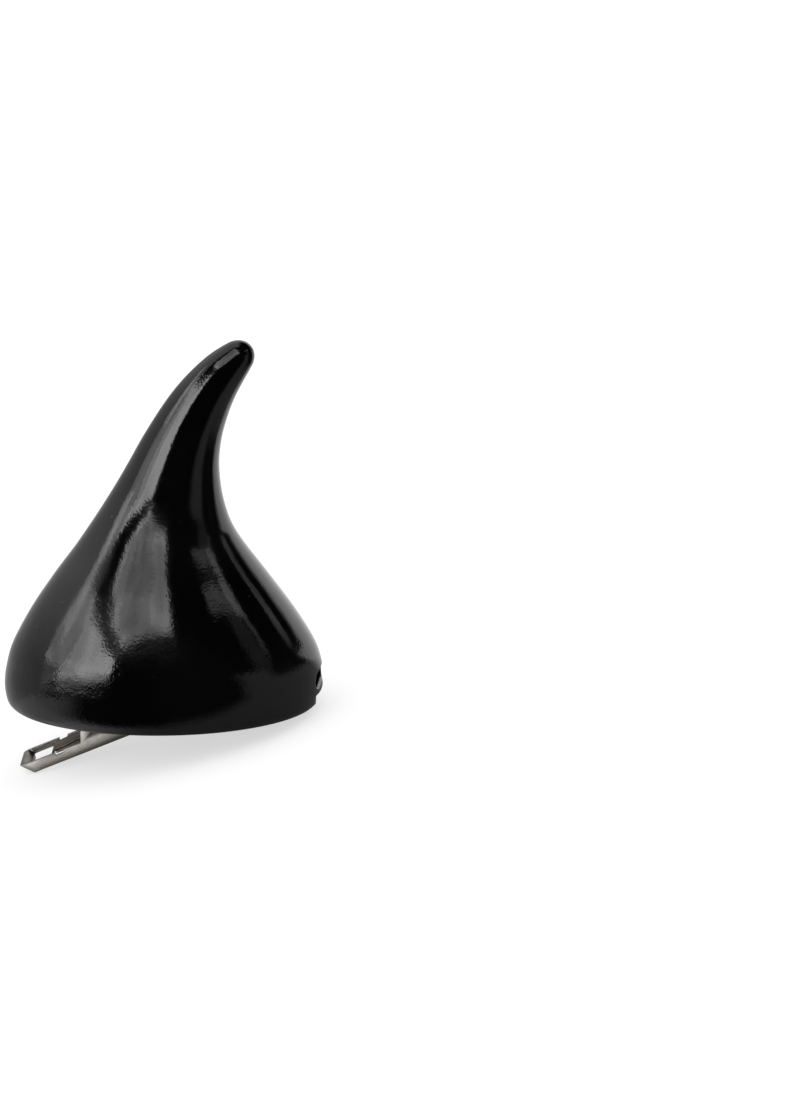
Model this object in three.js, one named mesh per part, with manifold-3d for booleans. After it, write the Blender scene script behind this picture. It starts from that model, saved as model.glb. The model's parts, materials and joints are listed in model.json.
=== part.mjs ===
// Horn hair clip: a hollow moulded horn with a sprung metal clip glued under its flat base.
// Millimetres, +Z up, +X towards the horn's tip, the clip's lever towards -X.
// The horn is drawn upright on its base plane (z = 0), then leant so that the clip stands on the ground.
import * as THREE from "three";
import { mergeVertices } from "three/addons/utils/BufferGeometryUtils.js";
import Module from "manifold-3d";

const wasm = await Module();
wasm.setup();

// Horn: wall, section ovals, and the slot through the wall near the base
const HORN_WALL = 1.8;
const BASE_OVAL = 0.725;
const TIP_OVAL = 0.94;
const OVAL_BLEND_HEIGHT = 50;
const HORN_SIDES = 48;
const HORN_RINGS = 44;
const CAVITY_SIDES = 32;
const CAVITY_RINGS = 20;
const CAVITY_TIP_RADIUS = 1.2;
const SLOT_WIDTH = 8;
const SLOT_HEIGHT = 3.4;
const SLOT_MIDDLE_Z = 3.9;
const SLOT_INNER_X = 21;
const SLOT_OUTER_X = 28;

// Cross-sections of the horn from its base to its tip: centre, lean towards +X in degrees, half width
const HORN_SECTIONS = [
  { x: 0.15, z: 0, lean: 0, halfWidth: 24 },
  { x: 0.15, z: 0.4, lean: 0, halfWidth: 25 },
  { x: 0.2, z: 1.5, lean: 0, halfWidth: 25.7 },
  { x: 0.25, z: 4, lean: 0, halfWidth: 26 },
  { x: 0.35, z: 7, lean: 0, halfWidth: 25.65 },
  { x: 0.3, z: 10.6, lean: 0, halfWidth: 24.5 },
  { x: 0.15, z: 16.1, lean: 0, halfWidth: 21.35 },
  { x: 0.05, z: 21.5, lean: 0, halfWidth: 17.6 },
  { x: 0.2, z: 26.9, lean: 1, halfWidth: 13.6 },
  { x: 0.8, z: 31, lean: 5, halfWidth: 11 },
  { x: 1.7, z: 35, lean: 10, halfWidth: 9.05 },
  { x: 2.65, z: 38.9, lean: 15, halfWidth: 7.6 },
  { x: 3.8, z: 43, lean: 20, halfWidth: 6.4 },
  { x: 5.35, z: 47.05, lean: 25, halfWidth: 5.45 },
  { x: 7.1, z: 50.5, lean: 29, halfWidth: 4.75 },
  { x: 9, z: 53.5, lean: 33, halfWidth: 4.1 },
  { x: 11.15, z: 56.2, lean: 37, halfWidth: 3.5 },
  { x: 13.05, z: 58.1, lean: 39, halfWidth: 2.85 },
];
const TIP_CAP_LENGTH = 2.25;
const TIP_CAP_ROWS = 4;

// Clip: sheet metal, all places in the horn's upright frame
const SHEET = 0.55;
const PIECE_GAP = 0.3;
const CLIP_WIDTH = 8.3;
const BEND_RADIUS = 1;
const BEND_STEPS = 3;
const HINGE = { x: -10, z: -2.6 };
const LEVER_TOE = { x: -21, z: -11.1 };
const LEVER_END = { x: -23.4, z: -9.9 };
const LEVER_PITCH = THREE.MathUtils.degToRad(22.3);
const LEVER_WALL_RISE = 2.1;
const JAW_BEND_X = -1.5;
const JAW_TOE = { x: 19, z: -2.1 };
const JAW_END = { x: 19.7, z: -1.4 };
const EAR_RADIUS = 1.7;
const EAR_ARC = { fromDegrees: 150, toDegrees: 50 };
const EAR_FRONT_X = -13.3;
const EAR_SHOULDER_Z = -3.8;
const TOOTH_PITCH = 1.9;
const TOOTH_DEPTH = 0.5;
const TEETH = 8;
const WALL_NOTCH = { distance: 6.4, length: 1.3, depth: 0.5 };
const WINDOW_START_X = -20.6;
const WINDOW_END_X = -12.6;
const WINDOW_WIDTH = 5.6;
const WINDOW_CUT_DEPTH = 2.2;
const PLATE_REAR_X = -17.5;
const PLATE_TIP_X = 19.4;
const PLATE_NECK_WIDTH = 6.6;
const PLATE_SHOULDER_X = -6;
const PLATE_TIP_WIDTH = 6;
const PLATE_TIP_RADIUS = 1.5;
const PIN_RADIUS = 0.55;
const PIN_HEAD_RADIUS = 1;
const PIN_HEAD_THICKNESS = 0.45;
const PIN_SIDES = 16;
const SPRING_THICKNESS = 0.35;
const SPRING_WIDTH = 4.4;
const SPRING_TURN_RADIUS = 1.05;
const SPRING_KNEE = { x: -18, z: -7.8 };
const SPRING_HOOK_DROP = 1.3;
const SPRING_UPPER_END = { x: -16, z: -1.4 };

const ARC_STEPS = 8;
const SEARCH_STEPS = 400;
const FAR = 15;
const CUT_MARGIN = 1;
const MERGE_DISTANCE = 1e-3;

const blackVinyl = new THREE.MeshStandardMaterial({ color: 0x0d0d0e, roughness: 0.22, metalness: 0 });
const nickelPlate = new THREE.MeshStandardMaterial({ color: 0xb5afa6, roughness: 0.28, metalness: 1 });
const springSteel = new THREE.MeshStandardMaterial({ color: 0x6a645c, roughness: 0.35, metalness: 1 });

// Helpers: solids from geometry, and outlines in x and z

function solidOf(geometry) {
  const bare = geometry.index ? geometry.toNonIndexed() : geometry.clone();
  bare.deleteAttribute("normal");
  bare.deleteAttribute("uv");
  const merged = mergeVertices(bare, MERGE_DISTANCE);
  const mesh = new wasm.Mesh({
    numProp: 3,
    vertProperties: merged.attributes.position.array,
    triVerts: new Uint32Array(merged.index.array),
  });
  return new wasm.Manifold(mesh);
}

function meshOf(name, solid, material) {
  const { vertProperties, triVerts } = solid.getMesh();
  const geometry = new THREE.BufferGeometry();
  geometry.setAttribute("position", new THREE.BufferAttribute(vertProperties, 3));
  geometry.setIndex(new THREE.BufferAttribute(triVerts, 1));
  geometry.computeVertexNormals();
  const mesh = new THREE.Mesh(geometry, material);
  mesh.name = name;
  return mesh;
}

// A side outline in x and z, given thickness across y, with its long edges rounded if a radius is given
function acrossSlab(outline, width, roundRadius = 0) {
  const shape = new THREE.Shape(outline.map(({ x, z }) => new THREE.Vector2(x, z)));
  const depth = width - 2 * roundRadius;
  const geometry = new THREE.ExtrudeGeometry(shape, {
    depth,
    bevelEnabled: roundRadius > 0,
    bevelThickness: roundRadius,
    bevelSize: roundRadius,
    bevelOffset: -roundRadius,
    bevelSegments: BEND_STEPS,
  });
  geometry.translate(0, 0, -depth / 2);
  geometry.rotateX(Math.PI / 2);
  return solidOf(geometry);
}

// The same polyline moved sideways by a distance, to the left of its direction, with mitred corners
function offsetLine(points, distance) {
  const sideOf = (a, b) => new THREE.Vector2(a.z - b.z, b.x - a.x).normalize();
  return points.map((point, i) => {
    const before = i > 0 ? sideOf(points[i - 1], point) : sideOf(point, points[i + 1]);
    const after = i < points.length - 1 ? sideOf(point, points[i + 1]) : before;
    const mitre = before.clone().add(after).normalize();
    const reach = distance / mitre.dot(after);
    return { x: point.x + mitre.x * reach, z: point.z + mitre.y * reach };
  });
}

function arcPoints(centre, radius, fromDegrees, toDegrees) {
  return Array.from({ length: ARC_STEPS + 1 }, (_, i) => {
    const angle = THREE.MathUtils.degToRad(THREE.MathUtils.lerp(fromDegrees, toDegrees, i / ARC_STEPS));
    return { x: centre.x + radius * Math.cos(angle), z: centre.z + radius * Math.sin(angle) };
  });
}

function hingeHole() {
  const hole = new THREE.CylinderGeometry(PIN_RADIUS + PIECE_GAP, PIN_RADIUS + PIECE_GAP, FAR, PIN_SIDES);
  hole.translate(HINGE.x, 0, HINGE.z);
  return solidOf(hole);
}

// Horn

// Sections that round the tip off beyond the last row of the table
function tipCap() {
  const last = HORN_SECTIONS.at(-1);
  const lean = THREE.MathUtils.degToRad(last.lean);
  return Array.from({ length: TIP_CAP_ROWS }, (_, i) => {
    const angle = ((i + 1) / TIP_CAP_ROWS) * (Math.PI / 2);
    const ahead = TIP_CAP_LENGTH * Math.sin(angle);
    return {
      x: last.x + ahead * Math.sin(lean),
      z: last.z + ahead * Math.cos(lean),
      lean: last.lean,
      halfWidth: last.halfWidth * Math.cos(angle),
    };
  });
}

const sections = [...HORN_SECTIONS, ...tipCap()];
const smoothThrough = (rowToPoint) => new THREE.CatmullRomCurve3(sections.map(rowToPoint));
const sectionPath = smoothThrough(({ x, z, lean }) => new THREE.Vector3(x, lean, z));
const sectionSize = smoothThrough(({ halfWidth, z }) => new THREE.Vector3(halfWidth, 0, z));

function sectionAt(t) {
  const { x, y: lean, z } = sectionPath.getPoint(t);
  const blend = THREE.MathUtils.smoothstep(z, 0, OVAL_BLEND_HEIGHT);
  const halfWidth = Math.max(sectionSize.getPoint(t).x, 0);
  return {
    x,
    z,
    lean: THREE.MathUtils.degToRad(lean),
    halfWidth,
    halfDepth: halfWidth * THREE.MathUtils.lerp(BASE_OVAL, TIP_OVAL, blend),
  };
}

// A closed skin through the sections between two places along the horn, a given depth under the surface.
// It starts as a lathe whose height is the place along the horn and whose radius is a share of the section.
function hornSkin(fromT, toT, rings, sides, inset) {
  const profile = [new THREE.Vector2(0, fromT)];
  for (let i = 0; i <= rings; i += 1) {
    profile.push(new THREE.Vector2(1, THREE.MathUtils.lerp(fromT, toT, i / rings)));
  }
  profile.push(new THREE.Vector2(0, toT));
  const geometry = new THREE.LatheGeometry(profile.reverse(), sides);
  const position = geometry.attributes.position;
  for (let i = 0; i < position.count; i += 1) {
    const section = sectionAt(position.getY(i));
    const wide = position.getX(i) * Math.max(section.halfWidth - inset, 0);
    const deep = position.getZ(i) * Math.max(section.halfDepth - inset, 0);
    const x = section.x + wide * Math.cos(section.lean);
    const z = section.z - wide * Math.sin(section.lean);
    position.setXYZ(i, x, deep, z);
  }
  return solidOf(geometry);
}

// The place along the horn where a test on its section first holds
function placeWhere(test) {
  for (let i = 0; i <= SEARCH_STEPS; i += 1) {
    if (test(sectionAt(i / SEARCH_STEPS))) return i / SEARCH_STEPS;
  }
  return 1;
}

function slotCutter() {
  const half = SLOT_WIDTH / 2 - SLOT_HEIGHT / 2;
  const shape = new THREE.Shape();
  shape.absarc(half, SLOT_MIDDLE_Z, SLOT_HEIGHT / 2, -Math.PI / 2, Math.PI / 2);
  shape.absarc(-half, SLOT_MIDDLE_Z, SLOT_HEIGHT / 2, Math.PI / 2, (3 * Math.PI) / 2);
  const geometry = new THREE.ExtrudeGeometry(shape, {
    depth: SLOT_OUTER_X - SLOT_INNER_X,
    bevelEnabled: false,
    curveSegments: ARC_STEPS,
  });
  geometry.rotateX(Math.PI / 2);
  geometry.rotateZ(Math.PI / 2);
  geometry.translate(SLOT_INNER_X, 0, 0);
  return solidOf(geometry);
}

function hornShell() {
  const floorT = placeWhere(({ z }) => z >= HORN_WALL);
  const roofT = placeWhere(({ halfWidth }) => halfWidth <= HORN_WALL + CAVITY_TIP_RADIUS);
  const outside = hornSkin(0, 1, HORN_RINGS, HORN_SIDES, 0);
  const cavity = hornSkin(floorT, roofT, CAVITY_RINGS, CAVITY_SIDES, HORN_WALL);
  return meshOf("horn_shell", outside.subtract(cavity).subtract(slotCutter()), blackVinyl);
}

// Clip lever and lower jaw, one stamped trough

const plateTop = -PIECE_GAP;
const plateUnder = plateTop - SHEET;
const wallTop = plateUnder - PIECE_GAP;
const leverSlope = Math.tan(LEVER_PITCH);
const leverFloorAt = (x) => LEVER_TOE.z + leverSlope * (x - LEVER_TOE.x);
const leverWallAt = (x) => leverFloorAt(x) + LEVER_WALL_RISE / Math.cos(LEVER_PITCH);

function trough() {
  const bend = { x: JAW_BEND_X, z: leverFloorAt(JAW_BEND_X) };
  const leverWall = { x: LEVER_END.x, z: FAR };
  const jawWall = { x: JAW_END.x, z: FAR };
  const under = [leverWall, LEVER_END, LEVER_TOE, bend, JAW_TOE, JAW_END, jawWall];
  const inside = offsetLine(under, SHEET);
  const outer = acrossSlab(under, CLIP_WIDTH, BEND_RADIUS);
  const inner = acrossSlab(inside, CLIP_WIDTH - 2 * SHEET, BEND_RADIUS - SHEET);
  return outer.subtract(inner);
}

// What is kept of the trough, seen from the side: low lever walls, tall ears and a toothed jaw
function troughSideOutline() {
  const notchX = LEVER_END.x + WALL_NOTCH.distance * Math.cos(LEVER_PITCH);
  const notchEndX = notchX + WALL_NOTCH.length;
  const outsideX = LEVER_END.x - CUT_MARGIN;
  const beyondX = JAW_END.x + CUT_MARGIN;
  const leverTop = [
    { x: outsideX, z: leverWallAt(outsideX) },
    { x: notchX, z: leverWallAt(notchX) },
    { x: notchX, z: leverWallAt(notchX) - WALL_NOTCH.depth },
    { x: notchEndX, z: leverWallAt(notchEndX) - WALL_NOTCH.depth },
    { x: notchEndX, z: leverWallAt(notchEndX) },
    { x: EAR_FRONT_X, z: leverWallAt(EAR_FRONT_X) },
    { x: EAR_FRONT_X, z: EAR_SHOULDER_Z },
  ];
  const ear = arcPoints(HINGE, EAR_RADIUS, EAR_ARC.fromDegrees, EAR_ARC.toDegrees);
  const teeth = [];
  const firstTooth = JAW_END.x - TEETH * TOOTH_PITCH;
  for (let i = 0; i < TEETH; i += 1) {
    teeth.push({ x: firstTooth + i * TOOTH_PITCH, z: wallTop });
    teeth.push({ x: firstTooth + (i + 0.5) * TOOTH_PITCH, z: wallTop - TOOTH_DEPTH });
  }
  const jawTop = [{ x: PLATE_SHOULDER_X, z: wallTop }, ...teeth, { x: beyondX, z: wallTop }];
  const bottom = [
    { x: beyondX, z: -FAR },
    { x: outsideX, z: -FAR },
  ];
  return [...leverTop, ...ear, ...jawTop, ...bottom].reverse();
}

function leverWindow() {
  const middleX = (WINDOW_START_X + WINDOW_END_X) / 2;
  const length = (WINDOW_END_X - WINDOW_START_X) / Math.cos(LEVER_PITCH);
  const box = new THREE.BoxGeometry(length, WINDOW_WIDTH, WINDOW_CUT_DEPTH);
  box.rotateY(-LEVER_PITCH);
  box.translate(middleX, 0, leverFloorAt(middleX));
  return solidOf(box);
}

function clipLever() {
  const kept = trough().intersect(acrossSlab(troughSideOutline(), CLIP_WIDTH + CUT_MARGIN));
  return meshOf("clip_lever", kept.subtract(leverWindow()).subtract(hingeHole()), nickelPlate);
}

// Clip plate with its two ears, inside the lever's ears

function clipPlate() {
  const neck = PLATE_NECK_WIDTH / 2;
  const tip = PLATE_TIP_WIDTH / 2;
  const shape = new THREE.Shape();
  shape.moveTo(PLATE_REAR_X, -neck);
  shape.lineTo(PLATE_SHOULDER_X, -neck);
  shape.lineTo(PLATE_SHOULDER_X, -CLIP_WIDTH / 2);
  shape.lineTo(PLATE_TIP_X - PLATE_TIP_RADIUS, -tip);
  shape.quadraticCurveTo(PLATE_TIP_X, -tip, PLATE_TIP_X, -PLATE_TIP_RADIUS);
  shape.lineTo(PLATE_TIP_X, PLATE_TIP_RADIUS);
  shape.quadraticCurveTo(PLATE_TIP_X, tip, PLATE_TIP_X - PLATE_TIP_RADIUS, tip);
  shape.lineTo(PLATE_SHOULDER_X, CLIP_WIDTH / 2);
  shape.lineTo(PLATE_SHOULDER_X, neck);
  shape.lineTo(PLATE_REAR_X, neck);
  const flat = new THREE.ExtrudeGeometry(shape, {
    depth: SHEET,
    bevelEnabled: false,
    curveSegments: ARC_STEPS,
  });
  flat.translate(0, 0, plateUnder);
  const earTop = plateTop - SHEET / 2;
  const earOutline = [
    { x: HINGE.x - EAR_RADIUS, z: earTop },
    ...arcPoints(HINGE, EAR_RADIUS, 180, 360),
    { x: HINGE.x + EAR_RADIUS, z: earTop },
  ];
  const ear = acrossSlab(earOutline, SHEET);
  const earY = neck - SHEET / 2;
  const joined = solidOf(flat).add(ear.translate([0, earY, 0])).add(ear.translate([0, -earY, 0]));
  return meshOf("clip_plate", joined.subtract(hingeHole()), nickelPlate);
}

// Hinge pin, turned about the hinge axis

function hingePin() {
  const shank = CLIP_WIDTH / 2 + PIECE_GAP;
  const end = shank + PIN_HEAD_THICKNESS;
  const profile = [
    [0, -end],
    [PIN_HEAD_RADIUS, -end],
    [PIN_HEAD_RADIUS, -shank],
    [PIN_RADIUS, -shank],
    [PIN_RADIUS, shank],
    [PIN_HEAD_RADIUS, shank],
    [PIN_HEAD_RADIUS, end],
    [0, end],
  ];
  const geometry = new THREE.LatheGeometry(profile.map(([r, y]) => new THREE.Vector2(r, y)), PIN_SIDES);
  const mesh = meshOf("hinge_pin", solidOf(geometry), nickelPlate);
  mesh.position.set(HINGE.x, 0, HINGE.z);
  return mesh;
}

// Leaf spring: a hooked lower leg, a turn round the pin and an upper leg under the plate

function leafSpring() {
  const legPitch = Math.atan2(HINGE.z - SPRING_TURN_RADIUS - SPRING_KNEE.z, HINGE.x - SPRING_KNEE.x);
  const turnStart = THREE.MathUtils.radToDeg(legPitch) - 90;
  const middleLine = [
    { x: SPRING_KNEE.x - SPRING_THICKNESS, z: SPRING_KNEE.z - SPRING_HOOK_DROP },
    SPRING_KNEE,
    ...arcPoints(HINGE, SPRING_TURN_RADIUS, turnStart, 90),
    SPRING_UPPER_END,
  ];
  const outline = [
    ...offsetLine(middleLine, -SPRING_THICKNESS / 2),
    ...offsetLine(middleLine, SPRING_THICKNESS / 2).reverse(),
  ];
  return meshOf("leaf_spring", acrossSlab(outline, SPRING_WIDTH), springSteel);
}

// Assembly, leant until the lever's toe and the jaw's toe stand on the ground, centred over the origin

const hornClip = new THREE.Group();
const stance = new THREE.Group();
stance.add(hornShell(), clipPlate(), clipLever(), hingePin(), leafSpring());
stance.rotation.y = Math.atan2(JAW_TOE.z - LEVER_TOE.z, JAW_TOE.x - LEVER_TOE.x);
hornClip.add(stance);
const box = new THREE.Box3().setFromObject(hornClip, true);
stance.position.set(-(box.min.x + box.max.x) / 2, -(box.min.y + box.max.y) / 2, -box.min.z);

export default hornClip;
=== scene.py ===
# %% [markdown]
# Horn hair clip. The real thing is a hollow horn of glossy black vinyl with a small sprung metal clip
# glued under its flat base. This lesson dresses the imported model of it: the horn is made again as one
# smooth skin, the clip's sheet metal gets rounded edges, and every surface gets a finish.

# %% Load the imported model
import json
import math

import bmesh
import bpy
from mathutils import Matrix, Vector


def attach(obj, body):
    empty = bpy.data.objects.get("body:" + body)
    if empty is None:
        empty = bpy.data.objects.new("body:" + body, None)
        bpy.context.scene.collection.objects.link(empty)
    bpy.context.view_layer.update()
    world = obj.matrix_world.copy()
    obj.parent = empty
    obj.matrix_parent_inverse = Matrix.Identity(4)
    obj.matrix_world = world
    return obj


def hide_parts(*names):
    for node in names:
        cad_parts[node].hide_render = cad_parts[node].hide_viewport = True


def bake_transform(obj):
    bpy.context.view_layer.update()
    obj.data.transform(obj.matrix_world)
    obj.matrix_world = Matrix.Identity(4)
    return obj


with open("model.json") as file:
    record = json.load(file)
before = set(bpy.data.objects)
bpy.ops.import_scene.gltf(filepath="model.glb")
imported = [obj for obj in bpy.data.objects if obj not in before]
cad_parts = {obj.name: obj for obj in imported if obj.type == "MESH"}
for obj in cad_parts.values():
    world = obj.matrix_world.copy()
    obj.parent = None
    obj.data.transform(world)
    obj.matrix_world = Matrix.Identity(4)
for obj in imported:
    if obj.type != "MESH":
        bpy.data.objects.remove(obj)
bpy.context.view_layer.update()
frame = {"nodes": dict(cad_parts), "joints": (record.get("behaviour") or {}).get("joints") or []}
MM = 0.001

# %% [markdown]
# The clip stands on two toes, one at the lever's end and one at the jaw's end. The lever's toe hangs
# lower than the jaw's, so the whole horn leans when it stands by itself. It is easier to describe the
# horn upright on its base and then to lean it, so one matrix takes upright places to where they stand.
# The hinge is in the record, which settles the shift.

# %% From the upright horn to the standing one
TOE_RUN = 40 * MM
TOE_RISE = 9 * MM
HINGE_UPRIGHT = Vector((-10, 0, -2.6)) * MM
LEAN = math.atan2(TOE_RISE, TOE_RUN)
hinge = Vector(frame["joints"][0]["pos_m"])
turn = Matrix.Rotation(LEAN, 4, "Y")
stand = Matrix.Translation(hinge - turn @ HINGE_UPRIGHT) @ turn
print("leans by", round(math.degrees(LEAN), 2), "degrees, hinge in mm:", [round(c / MM, 2) for c in hinge])

# %% [markdown]
# The camera comes first, so that every later choice can be judged in the picture. A product photograph
# is taken with a long lens from a little above. The camera is described in the upright frame too, so
# that the base looks level, and it goes through the same matrix.

# %% Camera
PHOTO_LONG_SIDE = 1120
FOCAL_PIXELS = 3660
SENSOR = 36
CAMERA_PLACE = Vector((38.85, -570.94, 185.94)) * MM
CAMERA_PITCH = math.radians(15.817)
camera_data = bpy.data.cameras.new("camera")
camera_data.sensor_width = SENSOR
camera_data.lens = FOCAL_PIXELS * SENSOR / PHOTO_LONG_SIDE
camera = bpy.data.objects.new("camera", camera_data)
bpy.context.scene.collection.objects.link(camera)
camera_turn = Matrix.Rotation(math.pi / 2 - CAMERA_PITCH, 4, "X")
camera.matrix_world = stand @ Matrix.Translation(CAMERA_PLACE) @ camera_turn
bpy.context.scene.camera = camera
camera_height = camera.matrix_world.translation.z
print("lens in mm:", round(camera_data.lens, 1), "camera height in mm:", round(camera_height / MM))

# %% [markdown]
# Shapes and finishes are both made with node trees, so a few helpers keep the wiring short. A value
# given to a socket is either another node's output, which is linked, or a plain number, which is set.

# %% Helpers for node trees
def feed(tree, socket, value):
    if isinstance(value, bpy.types.NodeSocket):
        tree.links.new(value, socket)
    else:
        socket.default_value = value


def add(tree, kind, inputs=None, **settings):
    node = tree.nodes.new(kind)
    for key, value in settings.items():
        setattr(node, key, value)
    for name, value in (inputs or {}).items():
        feed(tree, node.inputs[name], value)
    return node


def calc(tree, operation, *values):
    node = add(tree, "ShaderNodeMath", operation=operation)
    for socket, value in zip(node.inputs, values):
        feed(tree, socket, value)
    return node.outputs[0]


def plus(tree, value, extra, share):
    """A value and a share of an extra one."""
    return calc(tree, "ADD", value, calc(tree, "MULTIPLY", extra, share))


def mixed(tree, share, first, second):
    """The first value where the share is 0, the second where it is 1."""
    return add(tree, "ShaderNodeMix", {0: share, 2: first, 3: second}).outputs[0]


def rise(tree, value, low, high, to_low=0.0, to_high=1.0):
    """A smooth step: to_low below low, to_high above high."""
    node = add(tree, "ShaderNodeMapRange", {"Value": value}, interpolation_type="SMOOTHSTEP")
    for name, given in (("From Min", low), ("From Max", high), ("To Min", to_low), ("To Max", to_high)):
        feed(tree, node.inputs[name], given)
    return node.outputs["Result"]


def split(tree, vector):
    return add(tree, "ShaderNodeSeparateXYZ", {"Vector": vector}).outputs


def noise(tree, scale, detail, **place):
    """Noise from 0 to 1, at the surface's own place unless a Vector is given."""
    return add(tree, "ShaderNodeTexNoise", {"Scale": scale, "Detail": detail, **place}).outputs[0]


def new_tree(name, kind, inputs, outputs):
    """A node group with named sockets. inputs and outputs are lists of (name, type, default)."""
    tree = bpy.data.node_groups.new(name, kind)
    for way, sockets in (("INPUT", inputs), ("OUTPUT", outputs)):
        for label, value_type, default in sockets:
            socket_type = "NodeSocket" + value_type
            socket = tree.interface.new_socket(name=label, in_out=way, socket_type=socket_type)
            if default is not None:
                socket.default_value = default
    return tree, tree.nodes.new("NodeGroupInput"), tree.nodes.new("NodeGroupOutput")


node_helpers = (feed, add, calc, plus, mixed, rise, split, noise, new_tree)
print("node helpers:", [helper.__name__ for helper in node_helpers])

# %% [markdown]
# The horn is the main piece, and its shape follows a rule: oval cross-sections ride up a curved line,
# shrink, and lean over towards the tip. It could be sculpted, but a rule is easier to read and to
# change. The table has one row for each section, with its centre, its lean and its half width. The tip
# is rounded off by further rows on an arc that starts with the last section's taper. Above the waist
# the line bows a little towards the camera, as a soft moulding does when it cools.

# %% Sections of the horn
SECTION_COLUMNS = ("x", "z", "lean", "half_width")
SECTION_TABLE = (
    (0.15, 0, 0, 24),
    (0.15, 0.4, 0, 25),
    (0.2, 1.5, 0, 25.7),
    (0.25, 4, 0, 26),
    (0.35, 7, 0, 25.65),
    (0.3, 10.6, 0, 24.5),
    (0.15, 16.1, 0, 21.35),
    (0.05, 21.5, 0, 17.6),
    (0.2, 26.9, 1, 13.6),
    (0.8, 31, 5, 11),
    (1.7, 35, 10, 9.05),
    (2.65, 38.9, 15, 7.6),
    (3.8, 43, 20, 6.4),
    (5.35, 47.05, 25, 5.45),
    (7.1, 50.5, 29, 4.75),
    (9, 53.5, 33, 4.1),
    (11.1, 56.15, 35.5, 3.45),
    (13.15, 58.1, 46.5, 2.7),
)
TIP_CAP_LENGTH = 2.5
TIP_CAP_START = math.radians(17)
TIP_CAP_ROWS = 4
HORN_WALL = 1.8
CAVITY_FLOOR_ROW = 2
CAVITY_TIP_RADIUS = 1.2
BOW = 3.5
BOW_POWER = 1.6
BOW_START = 30
BOW_HEIGHT = 32
BOW_LIFT = 0.22
BOW_SIDE = 0.044

sections = [dict(zip(SECTION_COLUMNS, row)) for row in SECTION_TABLE]


def tip_cap(last):
    """Rows of an arc that starts with the taper of the last section and ends at a point."""
    lean = math.radians(last["lean"])
    start = math.sin(TIP_CAP_START)
    for step in range(1, TIP_CAP_ROWS + 1):
        angle = TIP_CAP_START + step / TIP_CAP_ROWS * (math.pi / 2 - TIP_CAP_START)
        ahead = TIP_CAP_LENGTH * (math.sin(angle) - start) / (1 - start)
        yield {
            "x": last["x"] + ahead * math.sin(lean),
            "z": last["z"] + ahead * math.cos(lean),
            "lean": last["lean"],
            "half_width": last["half_width"] * math.cos(angle) / math.cos(TIP_CAP_START),
        }


def bowed(section):
    """The place of a section's centre, further forward and a little up and aside towards the tip."""
    share = max(section["z"] - BOW_START, 0) / BOW_HEIGHT
    forward = BOW * share ** BOW_POWER
    return Vector((section["x"] + BOW_SIDE * forward, -forward, section["z"] + BOW_LIFT * forward)) * MM


skin_sections = sections + list(tip_cap(sections[-1]))
cavity_floor = {**sections[CAVITY_FLOOR_ROW], "z": HORN_WALL}
cavity_sections = [cavity_floor] + [
    s for s in sections if s["z"] > HORN_WALL and s["half_width"] > HORN_WALL + CAVITY_TIP_RADIUS
]
print(len(skin_sections), "sections on the outside,", len(cavity_sections), "in the cavity")

# %% [markdown]
# Geometry Nodes turn the table into a skin. The sections' centres are the points of a line, which
# carries the lean and the half width as an attribute. The tree smooths the line as a Catmull-Rom curve,
# lays a grid with one row for each point of the curve, and bends each row into that point's oval. The
# ends are closed by rows that shrink to the middle, and seams are merged. Slow lumps about a tenth of a
# millimetre high stop the reflections from looking machined, and below the slot the wall is cut back
# flat, as on the real moulding.

# %% The tree that skins the sections
CURVE_STEPS = 10
END_ROWS = 3
RIM_SHARE = 0.985
MERGE_DISTANCE = 1e-6
STEP_LOW = 2.3 * MM
STEP_HIGH = 2.7 * MM
LUMPS_FROM = 0.5 * MM
LUMPS_FULL = 5 * MM
NOISE_MIDDLE = 0.5


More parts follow.
